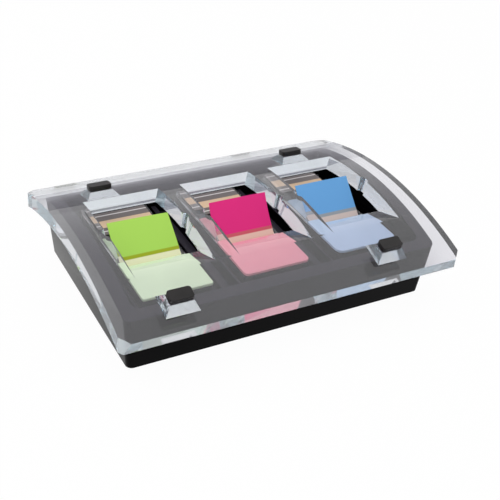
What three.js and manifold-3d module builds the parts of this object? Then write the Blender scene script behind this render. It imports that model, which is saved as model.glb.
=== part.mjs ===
// Desk dispenser for sticky index tabs: an arched clear cover with three windows sits on a black
// weighted base, which holds three cassettes of pop-up tabs side by side.
// Millimetres, +Z up, the long front edge faces -Y, the origin is under the middle of the cover.
import * as THREE from 'three';
import { mergeVertices } from 'three/addons/utils/BufferGeometryUtils.js';
import Module from 'manifold-3d';

const wasm = await Module();
wasm.setup();

// Tabs and cassettes
const tabWidth = 25.4;
const tabLength = 43.7;
const tabThickness = 0.35;
const stackHeight = 5.5;
const tabLean = THREE.MathUtils.degToRad(43.3);
const tabBendRadius = 2.5;
const tabRaisedLength = 19.4;
const tabBendFromStackFront = 20.7;
const cassetteCount = 3;
const cassettePitch = 41;
const cassetteWall = 1;
const cassetteHeaderLength = 16.2;
const lidThickness = 1.2;
const slotRoom = 0.5;
const labelThickness = 0.3;
const labelMargin = 1.2;

// Base
const baseSideWall = 2.85;
const baseEndWall = 3.4;
const baseSideRoom = 6;
const baseFrontRoom = 5.8;
const baseBackRoom = 7.2;
const baseSideDraft = 0.095;
const baseEndDraft = 0.055;
const baseCornerRadius = 2.5;
const recessCornerRadius = 3;
const bayFloorHeight = 10;
const bayFloorThickness = 2.2;
const bayRailThickness = 1.2;
const bayRailHeight = 5;
const bayRibThickness = 2.2;
const bayRibHeight = 3.4;
const bottomPlateThickness = 1.9;
const weightMargin = 4;
const padThickness = 1;
const padProud = 0.6;
const bossRadius = 3;
const bossFromSide = 11;
const bossFromEnd = 9;
const screwRadius = 1.2;
const screwHeadRadius = 2.4;
const screwHeadThickness = 1;
const screwLength = 6;

// Cover
const coverThickness = 6;
const coverSideOverhang = 7.35;
const coverFrontOverhang = 10.7;
const coverBackOverhang = 7.9;
const coverFrontHeight = 16.85;
const coverBackHeight = 17.95;
const archRise = 9.75;
const coverCornerChamfer = 3.5;
const windowSideRoom = 1.6;
const windowSideDraft = 1;
const windowBehindSlot = 30;
const notchRadius = 2.8;
const notchDepth = 1.3;
const notchBehindSlot = 3.8;
const rampFootBeforeSlot = 10.2;
const rampLength = 11.5;

// Posts on the cover and their caps
const leftPostInset = 23.3;
const rightPostInset = 31.6;
const frontPostShift = 1.3;
const frontPostInset = 8;
const frontPostHeight = 3.5;
const backPostHeight = 2.2;
const postTopWidth = 9.2;
const postTopDepth = 5;
const postSideFlare = 2;
const postEndFlare = 2.5;
const postRoot = 1;
const capThickness = 2.1;
const capCornerRadius = 1.2;

// Clearances
const slip = 0.3;
const contact = 0.15;

const arcSteps = 28;
const roundSteps = 5;

// Sizes that follow from the ones above
const cassetteWidth = tabWidth + 2 * (slip + cassetteWall);
const stackRoomLength = tabLength + 2 * slip;
const cassetteLength = stackRoomLength + cassetteHeaderLength + 3 * cassetteWall;
const baseInnerWidth = (cassetteCount - 1) * cassettePitch + cassetteWidth + 2 * baseSideRoom;
const baseInnerDepth = baseFrontRoom + cassetteLength + baseBackRoom;
const baseWidth = baseInnerWidth + 2 * baseSideWall;
const baseDepth = baseInnerDepth + 2 * baseEndWall;
const coverWidth = baseWidth + 2 * coverSideOverhang;
const coverDepth = coverFrontOverhang + baseDepth + coverBackOverhang;
const coverFront = -coverDepth / 2;
const baseFront = coverFront + coverFrontOverhang;
const baseBack = baseFront + baseDepth;
const recessFront = baseFront + baseEndWall;
const recessBack = recessFront + baseInnerDepth;
const cassetteFront = recessFront + baseFrontRoom;
const cassetteBack = cassetteFront + cassetteLength;
const stackFront = cassetteFront + cassetteWall + slip;
const partitionFront = cassetteFront + cassetteWall + stackRoomLength;

// Heights above the surface that the dispenser stands on
const baseBottom = padProud;
const bayFloor = baseBottom + bayFloorHeight;
const cavityTop = bayFloor - bayFloorThickness;
const plateBottom = padThickness + contact;
const plateTop = plateBottom + bottomPlateThickness;
const weightBottom = plateTop + contact;
const weightTop = cavityTop - slip;
const trayBottom = bayFloor + contact;
const stackBottom = trayBottom + cassetteWall + contact;
const stackTop = stackBottom + stackHeight;
const tabFlatHeight = stackTop + contact + tabThickness / 2;
const trayTop = tabFlatHeight + tabThickness / 2 + tabBendRadius / 2;
const lidBottom = trayTop + contact;
const lidTop = lidBottom + lidThickness;

// Where a raised tab leaves its stack and crosses the lid
const bendStart = stackFront + tabBendFromStackFront;
const bendEndY = bendStart + tabBendRadius * Math.sin(tabLean);
const bendEndZ = tabFlatHeight + tabBendRadius * (1 - Math.cos(tabLean));
const slotCentre = bendEndY + ((lidBottom + lidTop) / 2 - bendEndZ) / Math.tan(tabLean);
const slotLength = (lidThickness + tabThickness) / Math.tan(tabLean) + tabThickness + 2 * slotRoom;

const windowWidth = cassetteWidth + 2 * windowSideRoom;
const windowBack = slotCentre + windowBehindSlot;
const rampFoot = slotCentre - rampFootBeforeSlot;
const rampTop = rampFoot - rampLength;

const black = new THREE.MeshStandardMaterial({ color: 0x101012, roughness: 0.35 });
const capBlack = new THREE.MeshStandardMaterial({ color: 0x0c0b0b, roughness: 0.45 });
const rubber = new THREE.MeshStandardMaterial({ color: 0x1a1a1a, roughness: 0.9 });
const steel = new THREE.MeshStandardMaterial({ color: 0x8f9296, roughness: 0.4, metalness: 1 });
const clear = new THREE.MeshStandardMaterial({
  color: 0xe9f1f3, roughness: 0.05, transparent: true, opacity: 0.35,
});
const paper = new THREE.MeshStandardMaterial({ color: 0xd9cdbc, roughness: 0.7 });
const tabColours = [
  { name: 'green', raised: 0xa9d75c, stack: 0xd2ebc4 },
  { name: 'pink', raised: 0xdb2a7b, stack: 0xf0b4bf },
  { name: 'blue', raised: 0x67a3da, stack: 0xbcd2ea },
];

function tabFilm(color) {
  return new THREE.MeshStandardMaterial({ color, roughness: 0.55, side: THREE.DoubleSide });
}

// Solids and meshes
function toSolid(geometry) {
  const bare = new THREE.BufferGeometry();
  bare.setAttribute('position', geometry.getAttribute('position'));
  if (geometry.index) bare.setIndex(geometry.index);
  const merged = mergeVertices(bare, 1e-5);
  return new wasm.Manifold(new wasm.Mesh({
    numProp: 3,
    vertProperties: new Float32Array(merged.getAttribute('position').array),
    triVerts: new Uint32Array(merged.index.array),
  }));
}

function toGeometry(solid) {
  const { vertProperties, triVerts } = solid.getMesh();
  const geometry = new THREE.BufferGeometry();
  geometry.setAttribute('position', new THREE.BufferAttribute(new Float32Array(vertProperties), 3));
  geometry.setIndex(new THREE.BufferAttribute(new Uint32Array(triVerts), 1));
  geometry.computeVertexNormals();
  return geometry;
}

function block(x0, x1, y0, y1, z0, z1) {
  return new THREE.BoxGeometry(x1 - x0, y1 - y0, z1 - z0)
    .translate((x0 + x1) / 2, (y0 + y1) / 2, (z0 + z1) / 2);
}

function roundedRectangle(width, depth, radius) {
  const [w, d] = [width / 2, depth / 2];
  const shape = new THREE.Shape();
  shape.moveTo(-w + radius, -d);
  shape.lineTo(w - radius, -d);
  shape.absarc(w - radius, -d + radius, radius, -Math.PI / 2, 0);
  shape.lineTo(w, d - radius);
  shape.absarc(w - radius, d - radius, radius, 0, Math.PI / 2);
  shape.lineTo(-w + radius, d);
  shape.absarc(-w + radius, d - radius, radius, Math.PI / 2, Math.PI);
  shape.lineTo(-w, -d + radius);
  shape.absarc(-w + radius, -d + radius, radius, Math.PI, 1.5 * Math.PI);
  return shape;
}

function uprightPrism(shape, z0, z1) {
  const options = { depth: z1 - z0, bevelEnabled: false, curveSegments: roundSteps };
  return new THREE.ExtrudeGeometry(shape, options).translate(0, 0, z0);
}

// A section drawn in Y and Z, run along X
function prismAlongX(section, x0, x1) {
  const outline = new THREE.Shape(section.map(([y, z]) => new THREE.Vector2(y, z)));
  const geometry = new THREE.ExtrudeGeometry(outline, { depth: x1 - x0, bevelEnabled: false });
  const turn = new THREE.Matrix4().makeBasis(
    new THREE.Vector3(0, 1, 0), new THREE.Vector3(0, 0, 1), new THREE.Vector3(1, 0, 0));
  return geometry.applyMatrix4(turn).translate(x0, 0, 0);
}

function cylinder(radius, x, y, z0, z1) {
  return new THREE.CylinderGeometry(radius, radius, z1 - z0, 4 * roundSteps)
    .rotateX(Math.PI / 2).translate(x, y, (z0 + z1) / 2);
}

// The cover's arch: a parabola over its chord, which rises a little to the back
function undersideHeight(y) {
  const u = (y - coverFront) / coverDepth;
  const chord = THREE.MathUtils.lerp(coverFrontHeight, coverBackHeight, u);
  return baseBottom + chord + 4 * archRise * u * (1 - u);
}

function archSlope(y) {
  const u = (y - coverFront) / coverDepth;
  return (coverBackHeight - coverFrontHeight + 4 * archRise * (1 - 2 * u)) / coverDepth;
}

function archNormal(y) {
  return new THREE.Vector2(-archSlope(y), 1).normalize();
}

function archPoint(y, offset) {
  const normal = archNormal(y);
  return [y + normal.x * offset, undersideHeight(y) + normal.y * offset];
}

function archLine(y0, y1, offset) {
  const points = [];
  for (let i = 0; i <= arcSteps; i += 1) {
    points.push(archPoint(THREE.MathUtils.lerp(y0, y1, i / arcSteps), offset));
  }
  return points;
}

const cassetteCentres = Array.from({ length: cassetteCount },
  (_, i) => (i - (cassetteCount - 1) / 2) * cassettePitch);
const bossPlaces = [-1, 1].flatMap((side) => [
  [side * (baseInnerWidth / 2 - bossFromSide), recessFront + bossFromEnd],
  [side * (baseInnerWidth / 2 - bossFromSide), recessBack - bossFromEnd],
]);
const plateCentreY = (recessFront + recessBack) / 2;

// Base shell: drafted walls cut to the cover's arch, a floor with three railed bays, and a
// cavity below for the weight
function buildBaseShell() {
  const wallTop = undersideHeight(0) + coverThickness;
  const outline = roundedRectangle(baseWidth, baseDepth, baseCornerRadius);
  const walls = uprightPrism(outline, 0, wallTop - baseBottom);
  const position = walls.getAttribute('position');
  for (let i = 0; i < position.count; i += 1) {
    const rise = position.getZ(i);
    position.setX(i, position.getX(i) * (1 + 2 * baseSideDraft * rise / baseWidth));
    position.setY(i, position.getY(i) * (1 + 2 * baseEndDraft * rise / baseDepth));
  }
  walls.translate(0, (baseFront + baseBack) / 2, baseBottom);

  const underCover = archLine(coverFront, -coverFront, -slip);
  const archSpace = prismAlongX([
    [coverFront, -baseBottom], ...underCover, [-coverFront, -baseBottom],
  ], -coverWidth / 2, coverWidth / 2);

  const recessShape = roundedRectangle(baseInnerWidth, baseInnerDepth, recessCornerRadius);
  const recess = uprightPrism(recessShape, bayFloor, wallTop + coverThickness);
  const cavity = uprightPrism(recessShape, -baseBottom, cavityTop);
  recess.translate(0, plateCentreY, 0);
  cavity.translate(0, plateCentreY, 0);

  let shell = toSolid(walls).intersect(toSolid(archSpace))
    .subtract(toSolid(recess)).subtract(toSolid(cavity));
  const railRoot = bayFloor - bayFloorThickness / 2;
  for (const x of cassetteCentres) {
    const inner = cassetteWidth / 2 + slip;
    const outer = inner + bayRailThickness;
    const [front, back] = [cassetteFront - slip, cassetteBack + slip];
    const rail = toSolid(block(x - outer, x + outer, front - bayRailThickness,
      back + bayRailThickness, railRoot, bayFloor + bayRailHeight));
    const bay = toSolid(block(x - inner, x + inner, front, back,
      bayFloor, bayFloor + 2 * bayRailHeight));
    shell = shell.add(rail).subtract(bay);
  }
  for (const x of cassetteCentres.slice(1)) {
    const ribX = x - cassettePitch / 2;
    const rib = block(ribX - bayRibThickness / 2, ribX + bayRibThickness / 2,
      recessFront - baseEndWall / 2, recessBack + baseEndWall / 2, railRoot, bayFloor + bayRibHeight);
    shell = shell.add(toSolid(rib));
  }
  for (const [x, y] of bossPlaces) {
    const boss = cylinder(bossRadius, x, y, plateTop + contact, cavityTop + bayFloorThickness / 2);
    const hole = cylinder(screwRadius + slip, x, y, plateTop, plateTop + screwLength);
    shell = shell.add(toSolid(boss)).subtract(toSolid(hole));
  }
  return toGeometry(shell);
}

function insetSheet(margin, z0, z1) {
  const shape = roundedRectangle(baseInnerWidth - 2 * margin, baseInnerDepth - 2 * margin,
    recessCornerRadius);
  return uprightPrism(shape, z0, z1).translate(0, plateCentreY, 0);
}

function buildBottomPlate() {
  let plate = toSolid(insetSheet(slip, plateBottom, plateTop));
  for (const [x, y] of bossPlaces) {
    plate = plate.subtract(toSolid(cylinder(screwRadius + slip, x, y, 0, plateTop + contact)));
    plate = plate.subtract(toSolid(cylinder(screwHeadRadius + slip, x, y, 0,
      plateBottom + screwHeadThickness + contact)));
  }
  return toGeometry(plate);
}

function buildWeight() {
  let weight = toSolid(insetSheet(weightMargin, weightBottom, weightTop));
  for (const [x, y] of bossPlaces) {
    weight = weight.subtract(toSolid(cylinder(bossRadius + slip, x, y, 0, bayFloor)));
  }
  return toGeometry(weight);
}

function buildScrew([x, y]) {
  const headTop = plateBottom + screwHeadThickness;
  const head = toSolid(cylinder(screwHeadRadius, x, y, plateBottom, headTop));
  const shank = toSolid(cylinder(screwRadius, x, y, plateBottom + contact,
    plateTop + screwLength - slip));
  return toGeometry(head.add(shank));
}

// The posts stand square to the cover's top face, the back ones with their feet just behind the
// windows, and the front pair a little further right than the back pair
const leftPostX = -coverWidth / 2 + leftPostInset;
const rightPostX = coverWidth / 2 - rightPostInset;
const frontPostY = coverFront + frontPostInset;
const backPostY = windowBack + postTopDepth / 2 + postEndFlare + slip;
const postPlaces = [
  { name: 'front_left', x: leftPostX + frontPostShift, y: frontPostY, height: frontPostHeight },
  { name: 'front_right', x: rightPostX + frontPostShift, y: frontPostY, height: frontPostHeight },
  { name: 'back_left', x: leftPostX, y: backPostY, height: backPostHeight },
  { name: 'back_right', x: rightPostX, y: backPostY, height: backPostHeight },
];

// A place is given on the top face, whose points lie square above the underside's
function onCover(geometry, place, lift) {
  const below = place.y - archNormal(place.y).x * coverThickness;
  const [y, z] = archPoint(below, coverThickness + lift);
  geometry.rotateX(Math.atan(archSlope(below)));
  return geometry.translate(place.x, y, z);
}

// A post flares down to its foot on the cover, and its root goes straight on into the plate
function buildPost(place) {
  const rise = place.height + postRoot;
  const post = new THREE.BoxGeometry(postTopWidth, postTopDepth, rise, 1, 1, 2)
    .translate(0, 0, -rise / 2);
  const position = post.getAttribute('position');
  for (let i = 0; i < position.count; i += 1) {
    const [x, y, z] = [position.getX(i), position.getY(i), position.getZ(i)];
    if (z < 0) {
      const ringHeight = z > -0.75 * rise ? -place.height : -rise;
      position.setXYZ(i, x + Math.sign(x) * postSideFlare, y + Math.sign(y) * postEndFlare, ringHeight);
    }
  }
  return onCover(post, place, place.height);
}

function buildCap(place) {
  const shape = roundedRectangle(postTopWidth, postTopDepth, capCornerRadius);
  return onCover(uprightPrism(shape, 0, capThickness), place, place.height + contact);
}

// A window: its front is a ramp, its side walls lean out, and each has a round notch by the tab
function buildWindow(x, above) {
  const [topY, topZ] = archPoint(rampTop, coverThickness);
  const footZ = undersideHeight(rampFoot);
  const rampSlope = (topZ - footZ) / (topY - rampFoot);
  const section = [
    [rampFoot, 0], [windowBack, 0], [windowBack, above],
    [rampFoot + (above - footZ) / rampSlope, above], [rampFoot, footZ],
  ];
  const opening = prismAlongX(section, -windowWidth / 2, windowWidth / 2);
  const middle = undersideHeight(0) + coverThickness / 2;
  const position = opening.getAttribute('position');
  for (let i = 0; i < position.count; i += 1) {
    const lean = windowSideDraft * (position.getZ(i) - middle) / coverThickness;
    position.setX(i, position.getX(i) + Math.sign(position.getX(i)) * lean);
  }
  let window = toSolid(opening.translate(x, 0, 0));
  for (const side of [-1, 1]) {
    const notch = new THREE.CylinderGeometry(notchRadius + windowSideDraft,
      notchRadius - windowSideDraft, 2 * coverThickness, 6 * roundSteps);
    notch.rotateX(Math.PI / 2).translate(
      x + side * (windowWidth / 2 - notchRadius + notchDepth), slotCentre + notchBehindSlot, middle);
    window = window.add(toSolid(notch));
  }
  return window;
}

// Cover: an arched plate with chamfered corners, three windows and four posts moulded on
function buildCover() {
  const top = archLine(coverFront, -coverFront, coverThickness).reverse();
  const section = [...archLine(coverFront, -coverFront, 0), ...top];
  let cover = toSolid(prismAlongX(section, -coverWidth / 2, coverWidth / 2));

  const above = undersideHeight(0) + 2 * coverThickness;
  for (const x of cassetteCentres) {
    cover = cover.subtract(buildWindow(x, above));
  }
  for (const place of postPlaces) {
    cover = cover.add(toSolid(buildPost(place)));
  }

  const frontTop = archPoint(coverFront, coverThickness)[0];
  const backTop = archPoint(-coverFront, coverThickness)[0];
  for (const sideX of [-coverWidth / 2, coverWidth / 2]) {
    for (const endY of [frontTop, backTop]) {
      const corner = new THREE.BoxGeometry(Math.SQRT2 * coverCornerChamfer,
        Math.SQRT2 * coverCornerChamfer, 2 * above);
      corner.rotateZ(Math.PI / 4).translate(sideX, endY, 0);
      cover = cover.subtract(toSolid(corner));
    }
  }
  return toGeometry(cover);
}

function buildTray(x) {
  const half = cassetteWidth / 2;
  const inner = half - cassetteWall;
  const floor = trayBottom + cassetteWall;
  const body = toSolid(block(x - half, x + half, cassetteFront, cassetteBack, trayBottom, trayTop));
  const stackRoom = toSolid(block(x - inner, x + inner, cassetteFront + cassetteWall,
    partitionFront, floor, lidTop));
  const headerRoom = toSolid(block(x - inner, x + inner, partitionFront + cassetteWall,
    cassetteBack - cassetteWall, floor, lidTop));
  return toGeometry(body.subtract(stackRoom).subtract(headerRoom));
}

function buildLid(x) {
  const half = cassetteWidth / 2;
  const plate = toSolid(block(x - half, x + half, cassetteFront, cassetteBack, lidBottom, lidTop));
  const slotHalf = tabWidth / 2 + slip;
  const slot = toSolid(block(x - slotHalf, x + slotHalf, slotCentre - slotLength / 2,
    slotCentre + slotLength / 2, trayBottom, lidTop + lidThickness));
  return toGeometry(plate.subtract(slot));
}

function buildStack(x) {
  const half = tabWidth / 2;
  return block(x - half, x + half, stackFront, stackFront + tabLength, stackBottom, stackTop);
}

// The top tab lies on its stack up to the bend, then rises back through the lid's slot
function buildRaisedTab(x) {
  const centreLine = [[stackFront, tabFlatHeight, 0]];
  for (let i = 0; i <= roundSteps; i += 1) {
    const turn = tabLean * i / roundSteps;
    centreLine.push([bendStart + tabBendRadius * Math.sin(turn),
      tabFlatHeight + tabBendRadius * (1 - Math.cos(turn)), turn]);
  }
  centreLine.push([bendEndY + tabRaisedLength * Math.cos(tabLean),
    bendEndZ + tabRaisedLength * Math.sin(tabLean), tabLean]);
  const face = (side) => centreLine.map(([y, z, turn]) => [
    y - side * Math.sin(turn) * tabThickness / 2, z + side * Math.cos(turn) * tabThickness / 2]);
  return prismAlongX([...face(-1), ...face(1).reverse()], x - tabWidth / 2, x + tabWidth / 2);
}

function buildLabel(x) {
  const half = cassetteWidth / 2 - labelMargin;
  return block(x - half, x + half, partitionFront + labelMargin, cassetteBack - labelMargin,
    lidTop + contact, lidTop + contact + labelThickness);
}

const dispenser = new THREE.Group();

function addPiece(parent, name, geometry, material) {
  const mesh = new THREE.Mesh(geometry, material);
  mesh.name = name;
  parent.add(mesh);
}

const base = new THREE.Group();
addPiece(base, 'base_shell', buildBaseShell(), black);
addPiece(base, 'bottom_plate', buildBottomPlate(), black);
addPiece(base, 'weight_plate', buildWeight(), steel);
addPiece(base, 'grip_pad', insetSheet(slip, 0, padThickness), rubber);
bossPlaces.forEach((place, i) => addPiece(base, `base_screw_${i + 1}`, buildScrew(place), steel));
dispenser.add(base);

cassetteCentres.forEach((x, i) => {
  const { name, raised, stack } = tabColours[i % tabColours.length];
  const cassette = new THREE.Group();
  const suffix = i < tabColours.length ? name : `${name}_${i + 1}`;
  addPiece(cassette, `cassette_tray_${suffix}`, buildTray(x), black);
  addPiece(cassette, `cassette_lid_${suffix}`, buildLid(x), clear);
  addPiece(cassette, `cassette_label_${suffix}`, buildLabel(x), paper);
  addPiece(cassette, `tab_stack_${suffix}`, buildStack(x), tabFilm(stack));
  addPiece(cassette, `raised_tab_${suffix}`, buildRaisedTab(x), tabFilm(raised));
  dispenser.add(cassette);
});

addPiece(dispenser, 'clear_cover', buildCover(), clear);
for (const place of postPlaces) {
  addPiece(dispenser, `post_cap_${place.name}`, buildCap(place), capBlack);
}

// The cover's two long top edges lean out by different amounts, so the whole is centred on them
const frontEdge = archPoint(coverFront, coverThickness)[0];
const backEdge = archPoint(-coverFront, coverThickness)[0];
dispenser.position.y = -(frontEdge + backEdge) / 2;

export default dispenser;
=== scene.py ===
# Desk dispenser for sticky index tabs: a clear arched cover on a weighted black base that holds
# three cassettes. Lengths are worked out in millimetres, and the meshes are in metres.
import math

import bmesh
import bpy
from mathutils import Matrix, Vector


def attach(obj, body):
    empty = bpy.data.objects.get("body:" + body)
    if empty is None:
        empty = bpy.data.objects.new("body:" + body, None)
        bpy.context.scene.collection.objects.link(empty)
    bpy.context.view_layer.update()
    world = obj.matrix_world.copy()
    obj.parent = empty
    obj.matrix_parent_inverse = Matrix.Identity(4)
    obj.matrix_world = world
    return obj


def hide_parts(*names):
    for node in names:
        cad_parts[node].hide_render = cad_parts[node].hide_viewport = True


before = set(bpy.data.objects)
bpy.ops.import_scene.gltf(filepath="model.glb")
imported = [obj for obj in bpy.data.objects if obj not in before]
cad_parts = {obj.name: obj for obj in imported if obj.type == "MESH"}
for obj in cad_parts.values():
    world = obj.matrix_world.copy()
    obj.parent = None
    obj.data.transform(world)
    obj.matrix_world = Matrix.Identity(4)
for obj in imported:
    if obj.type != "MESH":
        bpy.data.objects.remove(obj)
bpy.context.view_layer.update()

# Base shell
# One black satin moulding: drafted walls whose rim is cut to the cover's arch, a floor with a
# railed bay for each cassette, a rib between the bays, and screw bosses under the floor.
mm = 0.001
clearance, contact = 0.3, 0.15
tab_width, tab_length = 25.4, 43.7
tab_room_length = tab_length + 2 * clearance
cassette_wall = 1.0
header_length = 16.2
cassette_width = tab_width + 2 * (clearance + cassette_wall)
cassette_length = tab_room_length + header_length + 3 * cassette_wall
cassette_pitch = 41.0
cassette_centres = [-cassette_pitch, 0.0, cassette_pitch]

side_wall, end_wall = 2.85, 3.4
side_room, front_room, back_room = 6.0, 5.8, 7.2
recess_width = 2 * cassette_pitch + cassette_width + 2 * side_room
recess_depth = front_room + cassette_length + back_room
base_width = recess_width + 2 * side_wall
base_depth = recess_depth + 2 * end_wall
base_side_draft, base_end_draft = 0.095, 0.055
base_corner, recess_corner = 2.5, 3.0

cover_thickness = 6.0
front_overhang, back_overhang = 10.7, 7.9
cover_depth = front_overhang + base_depth + back_overhang
cover_front_height, cover_back_height = 16.85, 17.95
arch_rise = 9.75

base_front = front_overhang - cover_depth / 2
base_back = base_front + base_depth
recess_front = base_front + end_wall
recess_back = recess_front + recess_depth
recess_centre_y = (recess_front + recess_back) / 2
cassette_front = recess_front + front_room
cassette_back = cassette_front + cassette_length

pad_thickness, stands_at = 1.0, 0.6
floor_height, floor_thickness = 10.0, 2.2
bay_floor = stands_at + floor_height
cavity_top = bay_floor - floor_thickness
rail_thickness, rail_height = 1.2, 5.0
rib_thickness, rib_height = 2.2, 3.4
plate_thickness = 1.9
plate_top = pad_thickness + contact + plate_thickness
boss_from_side, boss_from_end = 11.0, 9.0
boss_radius, screw_radius, screw_length = 3.0, 1.2, 6.0
boss_places = [
    (side * (recess_width / 2 - boss_from_side), y)
    for side in (-1, 1)
    for y in (recess_front + boss_from_end, recess_back - boss_from_end)
]


def arch_height(y):
    """Height of the cover's underside: a parabola over a chord that rises a little to the back."""
    along = (y + cover_depth / 2) / cover_depth
    chord = cover_front_height + (cover_back_height - cover_front_height) * along
    return stands_at + chord + 4 * arch_rise * along * (1 - along)


def arch_slope(y):
    along = (y + cover_depth / 2) / cover_depth
    chord_rise = cover_back_height - cover_front_height
    return (chord_rise + 4 * arch_rise * (1 - 2 * along)) / cover_depth


def arch_point(y, lift):
    """The point square above the underside at y, at that distance from it."""
    steepness = math.hypot(1, arch_slope(y))
    return (y - arch_slope(y) / steepness * lift, arch_height(y) + lift / steepness)


def arch_line(start, end, lift, steps):
    """Points of the arch between two places, at that distance square above the underside."""
    return [arch_point(start + (end - start) * i / steps, lift) for i in range(steps + 1)]


# The dispenser is centred on its cover's two long top edges, which lean out unequally
arch_steps = 96
edge_ys = [arch_point(side * cover_depth / 2, cover_thickness)[0] for side in (-1, 1)]
centring = -sum(edge_ys) / 2


def upright(a, b, t):
    return (a, b, t)


def lengthwise(a, b, t):
    return (t, a, b)


def prism(outline, start, end, lay):
    """A closed solid: an outline run from start to end, upright or lengthwise along X."""
    mesh = bmesh.new()
    first = [mesh.verts.new(lay(a, b, start)) for a, b in outline]
    last = [mesh.verts.new(lay(a, b, end)) for a, b in outline]
    mesh.faces.new(list(reversed(first)))
    mesh.faces.new(last)
    for i, corner in enumerate(first):
        j = (i + 1) % len(first)
        mesh.faces.new((corner, first[j], last[j], last[i]))
    bmesh.ops.recalc_face_normals(mesh, faces=mesh.faces)
    return mesh


def rounded(width, depth, radius, centre=(0.0, 0.0), steps=8):
    """A rectangle with round corners, as a list of points."""
    points = []
    for quarter, (sx, sy) in enumerate([(1, -1), (1, 1), (-1, 1), (-1, -1)]):
        for i in range(steps + 1):
            turn = math.pi / 2 * (quarter - 1 + i / steps)
            points.append((
                centre[0] + sx * (width / 2 - radius) + radius * math.cos(turn),
                centre[1] + sy * (depth / 2 - radius) + radius * math.sin(turn),
            ))
    return points


def box_outline(x0, x1, y0, y1):
    return [(x0, y0), (x1, y0), (x1, y1), (x0, y1)]


def circle(x, y, radius, steps=32):
    turns = [2 * math.pi * i / steps for i in range(steps)]
    return [(x + radius * math.cos(turn), y + radius * math.sin(turn)) for turn in turns]


def place_mesh(mesh, name):
    """Puts a mesh into the scene as an object."""
    data = bpy.data.meshes.new(name)
    mesh.to_mesh(data)
    mesh.free()
    thing = bpy.data.objects.new(name, data)
    bpy.context.scene.collection.objects.link(thing)
    return thing


def combine(body, tools, operation):
    """Joins the tool solids to a body, cuts them out of it, or keeps what they share."""
    for tool in tools:
        change = body.modifiers.new("change", "BOOLEAN")
        change.operation = operation
        change.solver = "EXACT"
        change.object = place_mesh(tool, "tool")
    bpy.context.view_layer.update()
    shaped = body.evaluated_get(bpy.context.evaluated_depsgraph_get())
    data = bpy.data.meshes.new_from_object(shaped)
    used = [change.object for change in body.modifiers]
    body.modifiers.clear()
    body.data = data
    for tool in used:
        bpy.data.objects.remove(tool)


def finish_piece(thing, material, replaced, edge_radius=0.0, edge_angle=30.0):
    """Brings a piece to metres, rounds its edges, and ties it to the frame."""
    thing.data.transform(Matrix.Translation((0, centring * mm, 0)) @ Matrix.Scale(mm, 4))
    thing.data.materials.clear()
    thing.data.materials.append(material)
    thing.data.shade_smooth()
    thing.data.set_sharp_from_angle(angle=math.radians(edge_angle))
    if edge_radius:
        edges = thing.modifiers.new("edges", "BEVEL")
        edges.width = edge_radius * mm
        edges.segments = 3
        edges.limit_method = "ANGLE"
        edges.angle_limit = math.radians(edge_angle)
        edges.harden_normals = True
    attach(thing, "root")
    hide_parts(*replaced)
    return thing


def start_material(name):
    """A new material with its node tree and its main shader."""
    material = bpy.data.materials.new(name)
    material.use_nodes = True
    tree = material.node_tree
    return material, tree, tree.nodes["Principled BSDF"]


def add_node(tree, kind, **settings):
    node = tree.nodes.new(kind)
    for name, value in settings.items():
        if name in node.inputs:
            node.inputs[name].default_value = value
        else:
            setattr(node, name, value)
    return node


def add_grain(tree, shader, size, depth, gloss_low, gloss_high, detail=4.0):
    """Fine grain of that size: it varies the gloss and, where it has a depth, the surface."""
    place = add_node(tree, "ShaderNodeTexCoord")
    noise = add_node(tree, "ShaderNodeTexNoise", Scale=1 / (size * mm), Detail=detail)
    gloss = add_node(tree, "ShaderNodeMapRange")
    gloss.inputs["To Min"].default_value = gloss_low
    gloss.inputs["To Max"].default_value = gloss_high
    tree.links.new(place.outputs["Object"], noise.inputs["Vector"])
    tree.links.new(noise.outputs["Fac"], gloss.inputs["Value"])
    tree.links.new(gloss.outputs["Result"], shader.inputs["Roughness"])
    if depth:
        bump = add_node(tree, "ShaderNodeBump", Strength=0.3, Distance=depth * mm)
        tree.links.new(noise.outputs["Fac"], bump.inputs["Height"])
        tree.links.new(bump.outputs["Normal"], shader.inputs["Normal"])


def add_mottle(tree, shader, size, dark, light):
    """The colour drifts between two tones over patches of that size."""
    place = add_node(tree, "ShaderNodeTexCoord")
    patches = add_node(tree, "ShaderNodeTexNoise", Scale=1 / (size * mm), Detail=2.0)
    tones = add_node(tree, "ShaderNodeValToRGB")
    tones.color_ramp.elements[0].position = 0.3
    tones.color_ramp.elements[1].position = 0.7
    tones.color_ramp.elements[0].color = (*dark, 1)
    tones.color_ramp.elements[1].color = (*light, 1)
    tree.links.new(place.outputs["Object"], patches.inputs["Vector"])
    tree.links.new(patches.outputs["Fac"], tones.inputs["Fac"])
    tree.links.new(tones.outputs["Color"], shader.inputs["Base Color"])


# The Mix node's colour sockets share their names with its others, so they are given by place
mix_factor, mix_first, mix_second, mix_result = 0, 6, 7, 2
# Upward parts of a face's direction where the painted light from above begins and where it is full
top_light_begins, top_light_full = 0.7, 0.95


def add_painted_top_light(tree, shader, tone):
    """Painted light: faces that look up are painted a little paler, as if lit from above."""
    place = add_node(tree, "ShaderNodeTexCoord")
    split = add_node(tree, "ShaderNodeSeparateXYZ")
    upward = add_node(tree, "ShaderNodeMapRange")
    upward.inputs["From Min"].default_value = top_light_begins
    upward.inputs["From Max"].default_value = top_light_full
    lit_paler = add_node(tree, "ShaderNodeMix", data_type="RGBA")
    plain = shader.inputs["Base Color"].links[0].from_socket
    lit_paler.inputs[mix_second].default_value = (*tone, 1)
    tree.links.new(place.outputs["Normal"], split.inputs["Vector"])
    tree.links.new(split.outputs["Z"], upward.inputs["Value"])
    tree.links.new(upward.outputs["Result"], lit_paler.inputs[mix_factor])
    tree.links.new(plain, lit_paler.inputs[mix_first])
    tree.links.new(lit_paler.outputs[mix_result], shader.inputs["Base Color"])


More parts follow.
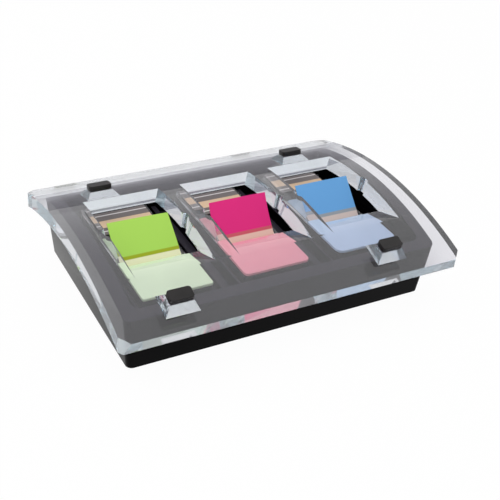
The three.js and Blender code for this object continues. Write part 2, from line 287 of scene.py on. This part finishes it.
base_black, base_black_tree, base_black_shader = start_material("base_black")
base_black_shader.inputs["IOR"].default_value = 1.12
add_grain(base_black_tree, base_black_shader, 0.35, 0, 0.16, 0.22)
add_mottle(base_black_tree, base_black_shader, 30, (0.0012, 0.0012, 0.0014), (0.0024, 0.0022, 0.0026))
# Painted light: the black moulding's faces that look up are painted paler, standing in for light from
# above
add_painted_top_light(base_black_tree, base_black_shader, (0.030, 0.027, 0.035))


def drafted_walls():
    wall_top = arch_height(0) + cover_thickness
    walls = prism(rounded(base_width, base_depth, base_corner), 0, wall_top, upright)
    for vertex in walls.verts:
        vertex.co.x *= 1 + 2 * base_side_draft * vertex.co.z / base_width
        vertex.co.y *= 1 + 2 * base_end_draft * vertex.co.z / base_depth
        vertex.co += Vector((0, (base_front + base_back) / 2, stands_at))
    return walls


def under_arch():
    line = arch_line(-cover_depth / 2, cover_depth / 2, -clearance, arch_steps)
    section = [(-cover_depth / 2, -stands_at), (cover_depth / 2, -stands_at), *reversed(line)]
    return prism(section, -base_width, base_width, lengthwise)


recess_outline = rounded(recess_width, recess_depth, recess_corner, (0, recess_centre_y))
rail_root = (bay_floor + cavity_top) / 2
rails, bays = [], []
for x in cassette_centres:
    half = cassette_width / 2 + clearance
    front, back = cassette_front - clearance, cassette_back + clearance
    rails.append(prism(box_outline(
        x - half - rail_thickness, x + half + rail_thickness,
        front - rail_thickness, back + rail_thickness), rail_root, bay_floor + rail_height, upright))
    bays.append(prism(box_outline(x - half, x + half, front, back),
                      bay_floor, bay_floor + 2 * rail_height, upright))
ribs = [
    prism(box_outline(x - rib_thickness / 2, x + rib_thickness / 2,
                      recess_front - end_wall / 2, recess_back + end_wall / 2),
          rail_root, bay_floor + rib_height, upright)
    for x in (-cassette_pitch / 2, cassette_pitch / 2)
]
bosses = [prism(circle(x, y, boss_radius), plate_top + contact, rail_root, upright)
          for x, y in boss_places]
boss_holes = [prism(circle(x, y, screw_radius + clearance), plate_top, plate_top + screw_length, upright)
              for x, y in boss_places]

base_shell = place_mesh(drafted_walls(), "base_shell_moulding")
combine(base_shell, [under_arch()], "INTERSECT")
combine(base_shell, [
    prism(recess_outline, bay_floor, arch_height(0) + 2 * cover_thickness, upright),
    prism(recess_outline, -stands_at, cavity_top, upright),
], "DIFFERENCE")
combine(base_shell, rails, "UNION")
combine(base_shell, bays, "DIFFERENCE")
combine(base_shell, ribs + bosses, "UNION")
combine(base_shell, boss_holes, "DIFFERENCE")
finish_piece(base_shell, base_black, ["base_shell"], edge_radius=0.35)

# Bottom plate, weight, screws and pad
# A black plate closes the base from below, four plated screws hold it, a zinc plated steel
# sheet lies on it as the weight, and a thin rubber pad is stuck under it.
plate_black, plate_black_tree, plate_black_shader = start_material("plate_black")
add_grain(plate_black_tree, plate_black_shader, 0.5, 0.03, 0.4, 0.55)
add_mottle(plate_black_tree, plate_black_shader, 20, (0.010, 0.010, 0.011), (0.016, 0.016, 0.017))
pad_rubber, pad_rubber_tree, pad_rubber_shader = start_material("pad_rubber")
add_grain(pad_rubber_tree, pad_rubber_shader, 0.6, 0.08, 0.75, 0.95)
add_mottle(pad_rubber_tree, pad_rubber_shader, 12, (0.016, 0.016, 0.016), (0.026, 0.026, 0.025))
zinc_steel, zinc_steel_tree, zinc_steel_shader = start_material("zinc_steel")
zinc_steel_shader.inputs["Metallic"].default_value = 1.0
add_grain(zinc_steel_tree, zinc_steel_shader, 2.0, 0.02, 0.3, 0.5)
add_mottle(zinc_steel_tree, zinc_steel_shader, 6, (0.42, 0.43, 0.45), (0.56, 0.57, 0.59))


def dress_node(name, material):
    """A CAD node that stays as it is gets its finish."""
    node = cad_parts[name]
    node.data.materials.clear()
    node.data.materials.append(material)


dress_node("bottom_plate", plate_black)
dress_node("grip_pad", pad_rubber)
dress_node("weight_plate", zinc_steel)
for number in range(1, 5):
    dress_node(f"base_screw_{number}", zinc_steel)

# Cassettes
# Each cassette is a thin black tray with a room for the pack and one behind it, closed by a
# polystyrene lid with a slot that the top tab comes up through. The lid is clear behind the
# slot's front edge and frosted in the pack's pale colour before it.
names = ["green", "pink", "blue"]
cassette_corner = 1.2
lid_thickness = 1.2
slot_room = 0.5
partition_front = cassette_front + cassette_wall + tab_room_length

stack_height = 5.5
tab_thickness = 0.35
lean = math.radians(43.3)
bend_radius = 2.5
bend_from_stack_front = 20.7
pack_front = cassette_front + cassette_wall + clearance
bend_start = pack_front + bend_from_stack_front

tray_bottom = bay_floor + contact
pack_bottom = tray_bottom + cassette_wall + contact
pack_top = pack_bottom + stack_height
flat_height = pack_top + contact + tab_thickness / 2
tray_top = flat_height + tab_thickness / 2 + bend_radius / 2
lid_bottom = tray_top + contact
lid_top = lid_bottom + lid_thickness

# The slot lies where the raised tab's line crosses the lid
bend_end_y = bend_start + bend_radius * math.sin(lean)
bend_end_z = flat_height + bend_radius * (1 - math.cos(lean))
slot_centre = bend_end_y + ((lid_bottom + lid_top) / 2 - bend_end_z) / math.tan(lean)
slot_length = (lid_thickness + tab_thickness) / math.tan(lean) + tab_thickness + 2 * slot_room

wear_size = 9.0


def make_clear(name, tint, ior, haze, gloss_range, depth_tint=None, density=0.0):
    """Clear plastic, with a little haze. The lamps' light passes straight through to what it covers."""
    material, tree, shader = start_material(name)
    shader.inputs["Base Color"].default_value = (*tint, 1)
    shader.inputs["Transmission Weight"].default_value = 1 - haze
    shader.inputs["IOR"].default_value = ior
    add_grain(tree, shader, wear_size, 0, *gloss_range, detail=3.0)
    path = add_node(tree, "ShaderNodeLightPath")
    reach = add_node(tree, "ShaderNodeMath", operation="MAXIMUM")
    passing = add_node(tree, "ShaderNodeBsdfTransparent", Color=(*tint, 1))
    choice = add_node(tree, "ShaderNodeMixShader")
    tree.links.new(path.outputs["Is Shadow Ray"], reach.inputs[0])
    tree.links.new(path.outputs["Is Diffuse Ray"], reach.inputs[1])
    tree.links.new(reach.outputs[0], choice.inputs["Fac"])
    tree.links.new(shader.outputs["BSDF"], choice.inputs[1])
    tree.links.new(passing.outputs["BSDF"], choice.inputs[2])
    tree.links.new(choice.outputs[0], tree.nodes["Material Output"].inputs["Surface"])
    if density:
        inside = add_node(tree, "ShaderNodeVolumeAbsorption", Color=(*depth_tint, 1), Density=density)
        tree.links.new(inside.outputs[0], tree.nodes["Material Output"].inputs["Volume"])
    return material


clear_styrene = make_clear("clear_styrene", (0.97, 0.98, 0.98), 1.35, 0.0, (0.01, 0.05))
tray_black, tray_black_tree, tray_black_shader = start_material("tray_black")
tray_black_shader.inputs["Specular IOR Level"].default_value = 0.2
add_grain(tray_black_tree, tray_black_shader, 0.4, 0.01, 0.25, 0.4)
add_mottle(tray_black_tree, tray_black_shader, 15, (0.006, 0.006, 0.007), (0.010, 0.010, 0.011))


def rounded_box(x0, x1, y0, y1, z0, z1, radius):
    outline = rounded(x1 - x0, y1 - y0, radius, ((x0 + x1) / 2, (y0 + y1) / 2), steps=6)
    return prism(outline, z0, z1, upright)


pack_colour = {"green": (0.75, 0.92, 0.60), "pink": (0.88, 0.33, 0.38), "blue": (0.47, 0.61, 0.77)}
lid_split = slot_centre - slot_length / 2
split_gap = 0.04
past = 1.0
lid_corner = {"green": 1.2, "pink": 2.0, "blue": 3.4}


def make_frosted(name):
    """Frosted plastic in the pale colour of the pack that lies under it."""
    material, tree, shader = start_material(f"frosted_{name}")
    colour = pack_colour[name]
    add_grain(tree, shader, 0.4, 0.004, 0.4, 0.55)
    add_mottle(tree, shader, 7, [0.96 * c for c in colour], colour)
    return material


for name, x in zip(names, cassette_centres):
    half = cassette_width / 2
    inner = half - cassette_wall
    tray = place_mesh(rounded_box(x - half, x + half, cassette_front, cassette_back,
                                  tray_bottom, tray_top, cassette_corner), f"tray_{name}")
    combine(tray, [
        rounded_box(x - inner, x + inner, cassette_front + cassette_wall, partition_front,
                    tray_bottom + cassette_wall, lid_top, cassette_corner / 2),
        rounded_box(x - inner, x + inner, partition_front + cassette_wall,
                    cassette_back - cassette_wall, tray_bottom + cassette_wall, lid_top,
                    cassette_corner / 2),
    ], "DIFFERENCE")
    finish_piece(tray, tray_black, [f"cassette_tray_{name}"], edge_radius=0.15)
    lid_outline = rounded(cassette_width, cassette_back - cassette_front, lid_corner[name],
                          (x, (cassette_front + cassette_back) / 2))
    slot_half = tab_width / 2 + clearance
    slot = box_outline(x - slot_half, x + slot_half, lid_split, lid_split + slot_length)
    front_half = box_outline(x - half - past, x + half + past, cassette_front - past,
                             lid_split + split_gap)
    back_half = box_outline(x - half - past, x + half + past, lid_split, cassette_back + past)
    lid = place_mesh(prism(lid_outline, lid_bottom, lid_top, upright), f"lid_{name}")
    combine(lid, [prism(cut, lid_bottom - past, lid_top + past, upright)
                  for cut in (slot, front_half)], "DIFFERENCE")
    finish_piece(lid, clear_styrene, [f"cassette_lid_{name}"], edge_radius=0.15)
    frosted = place_mesh(prism(lid_outline, lid_bottom, lid_top, upright), f"lid_front_{name}")
    combine(frosted, [prism(back_half, lid_bottom - past, lid_top + past, upright)], "DIFFERENCE")
    finish_piece(frosted, make_frosted(name), [f"cassette_lid_{name}"],
                 edge_radius=0.3)

# Labels
# A printed film strip lies on each lid behind the slot. Its print is left generic: a plain warm
# band between two thin lines on a smoky ground.
label_margin = 1.2
label_thickness = 0.3
label_corner = 0.8
label_bottom = lid_top + contact
label_smoke = (0.16, 0.14, 0.13)
label_warm = (0.72, 0.52, 0.33)
label_pale = (0.74, 0.72, 0.68)
label_bands = [(0.12, label_pale), (0.16, label_smoke), (0.30, label_warm), (0.62, label_smoke),
               (0.84, label_pale), (0.88, label_smoke)]


def make_label_film():
    material, tree, shader = start_material("label_film")
    shader.inputs["Roughness"].default_value = 0.3
    place = add_node(tree, "ShaderNodeUVMap")
    split = add_node(tree, "ShaderNodeSeparateXYZ")
    bands = add_node(tree, "ShaderNodeValToRGB")
    bands.color_ramp.interpolation = "CONSTANT"
    bands.color_ramp.elements.remove(bands.color_ramp.elements[1])
    bands.color_ramp.elements[0].color = (*label_smoke, 1)
    for start, colour in label_bands:
        bands.color_ramp.elements.new(start).color = (*colour, 1)
    tree.links.new(place.outputs["UV"], split.inputs["Vector"])
    tree.links.new(split.outputs["Y"], bands.inputs["Fac"])
    tree.links.new(bands.outputs["Color"], shader.inputs["Base Color"])
    return material


label_film = make_label_film()
for name, x in zip(names, cassette_centres):
    half = cassette_width / 2 - label_margin
    front, back = partition_front + label_margin, cassette_back - label_margin
    sheet = rounded_box(x - half, x + half, front, back, label_bottom,
                        label_bottom + label_thickness, label_corner)
    spread = sheet.loops.layers.uv.new("UVMap")
    for face in sheet.faces:
        for corner in face.loops:
            corner[spread].uv = ((corner.vert.co.x - x + half) / (2 * half),
                                 (corner.vert.co.y - front) / (back - front))
    label = place_mesh(sheet, f"label_{name}")
    finish_piece(label, label_film, [f"cassette_label_{name}"], edge_radius=0.06)

# Tab packs
# Each pack is a pad of folded film tabs, pale on top, with soft ridges round its sides at the
# folds, whose darker troughs are painted shade on the sides.
pack_corner = {"green": 0.8, "pink": 1.6, "blue": 3.2}
fold_spacing = 2.83
wave_spacing = 2 * math.pi / 20


def make_pack_film(name):
    material, tree, shader = start_material(f"pack_{name}")
    colour = pack_colour[name]
    shader.inputs["Roughness"].default_value = 0.45
    place = add_node(tree, "ShaderNodeTexCoord")
    layers = add_node(tree, "ShaderNodeTexWave", Scale=wave_spacing / (fold_spacing * mm), Distortion=0.6)
    layers.bands_direction = "Z"
    tones = add_node(tree, "ShaderNodeValToRGB")
    # Painted shade: the ridges' troughs take the darker tone, so the pack's sides look shaded
    tones.color_ramp.elements[0].color = (*[0.72 * c for c in colour], 1)
    tones.color_ramp.elements[1].color = (*colour, 1)
    tones.color_ramp.elements[1].position = 0.45
    bump = add_node(tree, "ShaderNodeBump", Strength=0.4, Distance=0.05 * mm)
    tree.links.new(place.outputs["Object"], layers.inputs["Vector"])
    tree.links.new(layers.outputs["Fac"], tones.inputs["Fac"])
    tree.links.new(tones.outputs["Color"], shader.inputs["Base Color"])
    tree.links.new(layers.outputs["Fac"], bump.inputs["Height"])
    tree.links.new(bump.outputs["Normal"], shader.inputs["Normal"])
    return material


for name, x in zip(names, cassette_centres):
    pack = place_mesh(rounded_box(x - tab_width / 2, x + tab_width / 2, pack_front,
                                  pack_front + tab_length, pack_bottom, pack_top,
                                  pack_corner[name]), f"pack_{name}")
    finish_piece(pack, make_pack_film(name), [f"tab_stack_{name}"],
                 edge_radius=0.2)

# Raised tabs
# The top tab of each pack is one piece of film. It lies on the pack, bends up through the slot,
# and leans back with its coloured end out, which is matte, while the film below it is pale.
raised_length = 19.4
film_thickness = 0.2
coloured_length = 14.0
gum_length = 21.5
# Painted shade: a short darker band just below the coloured end, where the dark slot shows through the
# film
slot_shade_length = 1.3
# Shares of the film's length over which one colour runs into the next
gum_blend, slot_shade_blend, tip_blend = 0.01, 0.004, 0.002
tab_colour = {"green": (0.397, 0.680, 0.107), "pink": (0.708, 0.023, 0.198),
              "blue": (0.136, 0.367, 0.701)}
# Darker tones of the band of painted shade below each coloured end
slot_shade_colour = {"green": (0.33, 0.40, 0.02), "pink": (0.56, 0.10, 0.13), "blue": (0.30, 0.33, 0.36)}
gum_colour = {"green": (0.80, 0.81, 0.53), "pink": (0.75, 0.50, 0.42), "blue": (0.62, 0.52, 0.48)}
tip_drop = {"green": 1.5, "pink": 0.2, "blue": 0.1}
tip_sway = {"green": 0.0, "pink": 1.8, "blue": 0.4}
tip_bow = 0.35
bend_length = bend_radius * lean
film_length = bend_from_stack_front + bend_length + raised_length


def film_point(along):
    """Height and place of the film at that distance from its foot, and the way it leans there."""
    past_flat = along - bend_from_stack_front
    if past_flat <= 0:
        return pack_front + along, flat_height, 0.0
    turn = min(past_flat / bend_radius, lean)
    y = bend_start + bend_radius * math.sin(turn)
    z = flat_height + bend_radius * (1 - math.cos(turn))
    past_bend = max(past_flat - bend_length, 0)
    return y + past_bend * math.cos(lean), z + past_bend * math.sin(lean), turn


def make_film(name):
    material, tree, shader = start_material(f"film_{name}")
    shader.inputs["Specular IOR Level"].default_value = 0.2
    place = add_node(tree, "ShaderNodeUVMap")
    split = add_node(tree, "ShaderNodeSeparateXYZ")
    stretch = add_node(tree, "ShaderNodeValToRGB")
    ramp = stretch.color_ramp
    slot_shade_end = 1 - coloured_length / film_length
    slot_shade_start = slot_shade_end - slot_shade_length / film_length
    gum_start = gum_length / film_length
    ramp.elements[0].color = (*pack_colour[name], 1)
    ramp.elements[1].color = (*tab_colour[name], 1)
    ramp.elements[1].position = slot_shade_end + tip_blend
    for position, colour in ((gum_start - gum_blend, pack_colour), (gum_start, gum_colour),
                             (slot_shade_start - slot_shade_blend, gum_colour), (slot_shade_start, slot_shade_colour),
                             (slot_shade_end, slot_shade_colour)):
        ramp.elements.new(position).color = (*colour[name], 1)
    tree.links.new(place.outputs["UV"], split.inputs["Vector"])
    tree.links.new(split.outputs["Y"], stretch.inputs["Fac"])
    tree.links.new(stretch.outputs["Color"], shader.inputs["Base Color"])
    add_grain(tree, shader, 0.5, 0.01, 0.45, 0.6)
    return material


def grid_rim(grid):
    """The outer points of a grid of points, in order round it."""
    right = [row[-1] for row in grid[1:-1]]
    left = [row[0] for row in grid[1:-1]]
    return grid[0] + right + list(reversed(grid[-1])) + list(reversed(left))


def film_mesh(x, drop, sway):
    """A thin closed sheet along the film's line, a little bowed, twisted and swayed at its tip."""
    mesh = bmesh.new()
    uv = mesh.loops.layers.uv.new("UVMap")
    rows, columns = 72, 16
    raised_start = film_length - raised_length
    place_of = {}
    sides = {}
    for side in (-1, 1):
        grid = []
        for i in range(rows + 1):
            along = film_length * i / rows
            y, z, turn = film_point(along)
            reach = max(along - raised_start, 0) / raised_length
            row = []
            for j in range(columns + 1):
                across = j / columns
                lift = side * film_thickness / 2
                lift += tip_bow * reach * math.sin(math.pi * across)
                lift -= drop * reach * reach * across
                vertex = mesh.verts.new((x + tab_width * (across - 0.5) + sway * reach * reach,
                                         y - math.sin(turn) * lift, z + math.cos(turn) * lift))
                place_of[vertex] = (across, along / film_length)
                row.append(vertex)
            grid.append(row)
        sides[side] = grid
        for i in range(rows):
            for j in range(columns):
                mesh.faces.new((grid[i][j], grid[i][j + 1], grid[i + 1][j + 1], grid[i + 1][j]))
    low_rim, high_rim = grid_rim(sides[-1]), grid_rim(sides[1])
    for i, vertex in enumerate(low_rim):
        j = (i + 1) % len(low_rim)
        mesh.faces.new((vertex, low_rim[j], high_rim[j], high_rim[i]))
    bmesh.ops.recalc_face_normals(mesh, faces=mesh.faces)
    for face in mesh.faces:
        for corner in face.loops:
            corner[uv].uv = place_of[corner.vert]
    return mesh


for name, x in zip(names, cassette_centres):
    film = place_mesh(film_mesh(x, tip_drop[name], tip_sway[name]), f"film_{name}")
    finish_piece(film, make_film(name), [f"raised_tab_{name}"], edge_angle=50.0)

# Cover
# One piece of clear acrylic, 6 mm thick, moulded as an arch with polished edges. It has a
# window with a ramp over each cassette, and four blunt posts standing on it.
side_overhang = 7.35
cover_width = base_width + 2 * side_overhang
corner_cut = 3.5
window_side_room, window_lean = 1.6, 1.0
window_width = cassette_width + 2 * window_side_room
window_back = slot_centre + 30.0
ramp_foot = slot_centre - 10.2
ramp_top = ramp_foot - 11.5
notch_radius, notch_depth = 2.8, 1.3
notch_y = slot_centre + 3.8
post_top = (9.2, 5.0)
post_flare = (2.0, 2.5)
post_root = 1.0
left_post_x, right_post_x = 23.3 - cover_width / 2, cover_width / 2 - 31.6
front_post_shift = 1.3
front_post_y = 8.0 - cover_depth / 2
back_post_y = window_back + post_top[1] / 2 + post_flare[1] + clearance
front_post_height, back_post_height = 3.5, 2.2
posts = {
    "front_left": (left_post_x + front_post_shift, front_post_y, front_post_height),
    "front_right": (right_post_x + front_post_shift, front_post_y, front_post_height),
    "back_left": (left_post_x, back_post_y, back_post_height),
    "back_right": (right_post_x, back_post_y, back_post_height),
}
clear_acrylic = make_clear("clear_acrylic", (0.93, 0.915, 0.95), 1.52, 0.024, (0.0, 0.015),
                           depth_tint=(0.52, 0.70, 0.76), density=12.0)
window_middle = arch_height(0) + cover_thickness / 2
window_above = arch_height(0) + 2 * cover_thickness


def window_shape(x):
    """The space of one window: a ramp in front, and side walls that lean out."""
    top_y, top_z = arch_point(ramp_top, cover_thickness)
    foot_z = arch_height(ramp_foot)
    slope = (top_z - foot_z) / (top_y - ramp_foot)
    section = [(ramp_foot, 0), (window_back, 0), (window_back, window_above),
               (ramp_foot + (window_above - foot_z) / slope, window_above), (ramp_foot, foot_z)]
    space = prism(section, -window_width / 2, window_width / 2, lengthwise)
    for vertex in space.verts:
        wider = 1 + 2 * window_lean * (vertex.co.z - window_middle) / cover_thickness / window_width
        vertex.co.x = vertex.co.x * wider + x
    return space


def notch_shape(x, side):
    """A round notch in a window's side wall, beside the tab."""
    centre = x + side * (window_width / 2 - notch_radius + notch_depth)
    notch = prism(circle(0, 0, notch_radius, 48), -cover_thickness, cover_thickness, upright)
    for vertex in notch.verts:
        wider = 1 + window_lean * vertex.co.z / cover_thickness / notch_radius
        vertex.co.x = vertex.co.x * wider + centre
        vertex.co.y = vertex.co.y * wider + notch_y
        vertex.co.z += window_middle
    return notch


def stand_on_cover(mesh, x, y, lift):
    """Turns a small solid square to the cover's top face at that place, and sets it there."""
    steepness = math.hypot(1, arch_slope(y))
    below = y + arch_slope(y) / steepness * cover_thickness
    turn = Matrix.Rotation(math.atan(arch_slope(below)), 4, "X")
    place = Matrix.Translation((x, *arch_point(below, cover_thickness + lift)))
    bmesh.ops.transform(mesh, matrix=place @ turn, verts=mesh.verts)
    return mesh


def post_shape(x, y, height):
    """A post that flares down to its foot, with a straight root that goes on into the plate."""
    top = box_outline(-post_top[0] / 2, post_top[0] / 2, -post_top[1] / 2, post_top[1] / 2)
    foot = [(a + math.copysign(post_flare[0], a), b + math.copysign(post_flare[1], b)) for a, b in top]
    post = bmesh.new()
    rings = [[post.verts.new((a, b, z)) for a, b in outline]
             for outline, z in ((top, 0), (foot, -height), (foot, -height - post_root))]
    post.faces.new(rings[0])
    post.faces.new(list(reversed(rings[-1])))
    for upper, lower in zip(rings, rings[1:]):
        for i, corner in enumerate(upper):
            j = (i + 1) % len(upper)
            post.faces.new((lower[i], lower[j], upper[j], corner))
    bmesh.ops.recalc_face_normals(post, faces=post.faces)
    return stand_on_cover(post, x, y, height)


def corner_shape(x, y):
    """A square post set on its corner, which takes the cover's corner at that place off."""
    outline = [(x, y - corner_cut), (x + corner_cut, y), (x, y + corner_cut), (x - corner_cut, y)]
    return prism(outline, 0, 2 * window_above, upright)


upper_line = arch_line(-cover_depth / 2, cover_depth / 2, cover_thickness, arch_steps)
lower_line = arch_line(-cover_depth / 2, cover_depth / 2, 0, arch_steps)
cover = place_mesh(prism([*lower_line, *reversed(upper_line)], -cover_width / 2, cover_width / 2,
                         lengthwise), "cover")
combine(cover, [window_shape(x) for x in cassette_centres], "DIFFERENCE")
combine(cover, [notch_shape(x, side) for x in cassette_centres for side in (-1, 1)], "DIFFERENCE")
combine(cover, [corner_shape(side * cover_width / 2, y) for side in (-1, 1) for y in edge_ys],
        "DIFFERENCE")
combine(cover, [post_shape(*place) for place in posts.values()], "UNION")
finish_piece(cover, clear_acrylic, ["clear_cover"], edge_radius=0.3)

# Post caps
# A soft black cap sits on each post, with rounded sides and edges.
cap_thickness = 2.1
cap_corner = 1.2
cap_rubber, cap_rubber_tree, cap_rubber_shader = start_material("cap_rubber")
cap_rubber_shader.inputs["IOR"].default_value = 1.38
add_grain(cap_rubber_tree, cap_rubber_shader, 0.3, 0.02, 0.28, 0.42)
add_mottle(cap_rubber_tree, cap_rubber_shader, 4, (0.008, 0.007, 0.007), (0.014, 0.012, 0.012))
for name, (x, y, height) in posts.items():
    shape = prism(rounded(*post_top, cap_corner), 0, cap_thickness, upright)
    cap = place_mesh(stand_on_cover(shape, x, y, height + contact), f"cap_{name}")
    finish_piece(cap, cap_rubber, [f"post_cap_{name}"], edge_radius=0.25)

# Studio
# A plain white floor that keeps a faint shadow, an even white surround, two broad soft lamps
# and the camera at the place and angle that the photograph was taken from.
camera_yaw = 0.541
floor_size = 6000
floor_colour = (0.86, 0.86, 0.86)
seen_white = 0.96
white_in_glass = 0.0
floor_material, floor_tree, floor_shader = start_material("floor_white")
floor_shader.inputs["Base Color"].default_value = (*floor_colour, 1)
floor_shader.inputs["Roughness"].default_value = 0.9
floor_shader.inputs["Specular IOR Level"].default_value = 0.0


def add_seen_directly(tree, share, share_in_glass):
    """A factor for rays that show the surround: the camera's own and in gloss, or out of glass."""
    path = add_node(tree, "ShaderNodeLightPath")
    seen = add_node(tree, "ShaderNodeMath", operation="MAXIMUM")
    tree.links.new(path.outputs["Is Camera Ray"], seen.inputs[0])
    tree.links.new(path.outputs["Is Glossy Ray"], seen.inputs[1])
    outside = add_node(tree, "ShaderNodeMath", operation="MULTIPLY")
    outside.inputs[1].default_value = share
    tree.links.new(seen.outputs[0], outside.inputs[0])
    through_glass = add_node(tree, "ShaderNodeMix", data_type="FLOAT")
    through_glass.inputs["B"].default_value = share_in_glass
    tree.links.new(path.outputs["Is Transmission Ray"], through_glass.inputs["Factor"])
    tree.links.new(outside.outputs[0], through_glass.inputs["A"])
    return through_glass.outputs["Result"]


floor_glow = add_node(floor_tree, "ShaderNodeEmission", Color=(1, 1, 1, 1), Strength=1.0)
floor_choice = add_node(floor_tree, "ShaderNodeMixShader")
floor_tree.links.new(add_seen_directly(floor_tree, seen_white, white_in_glass),
                     floor_choice.inputs["Fac"])
floor_tree.links.new(floor_shader.outputs["BSDF"], floor_choice.inputs[1])
floor_tree.links.new(floor_glow.outputs[0], floor_choice.inputs[2])
floor_tree.links.new(floor_choice.outputs[0], floor_tree.nodes["Material Output"].inputs["Surface"])
floor_mesh = bmesh.new()
bmesh.ops.create_grid(floor_mesh, x_segments=1, y_segments=1, size=floor_size * mm / 2)
floor = place_mesh(floor_mesh, "floor")
floor.data.materials.append(floor_material)

# A grey card behind the dispenser, low and out of the camera's sight, gives the back of the
# arch and the acrylic's edges something darker than the surround to show
card_distance, card_width, card_height = 1.2, 2.6, 0.36
card_material, _, card_shader = start_material("card_grey")
card_shader.inputs["Base Color"].default_value = (0.42, 0.41, 0.44, 1)
card_shader.inputs["Roughness"].default_value = 1.0
card_shader.inputs["Specular IOR Level"].default_value = 0.0
card_mesh = bmesh.new()
bmesh.ops.create_grid(card_mesh, x_segments=1, y_segments=1, size=0.5)
card = place_mesh(card_mesh, "card")
card.data.materials.append(card_material)
card.scale = (card_width, card_height, 1)
card.rotation_euler = (math.pi / 2, 0, -camera_yaw)
card.location = (card_distance * math.sin(camera_yaw), card_distance * math.cos(camera_yaw),
                 card_height / 2)
card.visible_camera = False
card.visible_diffuse = False
card.visible_shadow = False

surround_light = 0.62
surround_white, surround_in_glass = 1.0, 0.3
world = bpy.data.worlds.new("studio")
bpy.context.scene.world = world
world.use_nodes = True
surround = world.node_tree
surround_dim = surround.nodes["Background"]
surround_dim.inputs["Color"].default_value = (1, 1, 1, 1)
surround_dim.inputs["Strength"].default_value = surround_light
surround_seen = add_node(surround, "ShaderNodeBackground", Color=(1, 1, 1, 1), Strength=1.0)
surround_choice = add_node(surround, "ShaderNodeMixShader")
surround.links.new(add_seen_directly(surround, surround_white, surround_in_glass),
                   surround_choice.inputs["Fac"])
surround.links.new(surround_dim.outputs[0], surround_choice.inputs[1])
surround.links.new(surround_seen.outputs[0], surround_choice.inputs[2])
surround.links.new(surround_choice.outputs[0], surround.nodes["World Output"].inputs["Surface"])


def add_lamp(name, place, size, power):
    """A square soft lamp aimed at the dispenser's middle. Gloss and glass don't show it."""
    data = bpy.data.lights.new(name, "AREA")
    data.energy = power
    data.size = size
    lamp = bpy.data.objects.new(name, data)
    lamp.location = place
    lamp.rotation_mode = "QUATERNION"
    lamp.rotation_quaternion = (-Vector(place)).to_track_quat("-Z", "Y")
    lamp.visible_glossy = False
    lamp.visible_transmission = False
    bpy.context.scene.collection.objects.link(lamp)


add_lamp("lamp_over", (-0.2, 0.3, 1.0), 0.8, 5.0)
add_lamp("lamp_front", (-0.7, -0.9, 0.7), 0.7, 4.0)

camera_place = Vector((-158.156, -272.994, 216.973)) * mm
camera_pitch, camera_roll = 0.577, 0.092
camera_lens, sensor_width = 66.59, 36.0
ahead = Vector((math.sin(camera_yaw), math.cos(camera_yaw), 0))
level = Vector((math.cos(camera_yaw), -math.sin(camera_yaw), 0))
plumb = Vector((0, 0, 1))
look = math.cos(camera_pitch) * ahead - math.sin(camera_pitch) * plumb
above = math.sin(camera_pitch) * ahead + math.cos(camera_pitch) * plumb
right = math.cos(camera_roll) * level + math.sin(camera_roll) * above
over = math.cos(camera_roll) * above - math.sin(camera_roll) * level
camera_data = bpy.data.cameras.new("camera")
camera_data.lens = camera_lens
camera_data.sensor_width = sensor_width
camera_data.clip_start = 0.01
camera = bpy.data.objects.new("camera", camera_data)
camera.matrix_world = (Matrix.Translation(camera_place)
                       @ Matrix((right, over, -look)).transposed().to_4x4())
bpy.context.scene.collection.objects.link(camera)
bpy.context.scene.camera = camera
bpy.context.scene.view_settings.view_transform = "Standard"

# Light runs a long way inside the thick acrylic before it comes out again
inner_bounces = 40
light_paths = bpy.context.scene.cycles
light_paths.max_bounces = inner_bounces
light_paths.glossy_bounces = inner_bounces
light_paths.transmission_bounces = inner_bounces
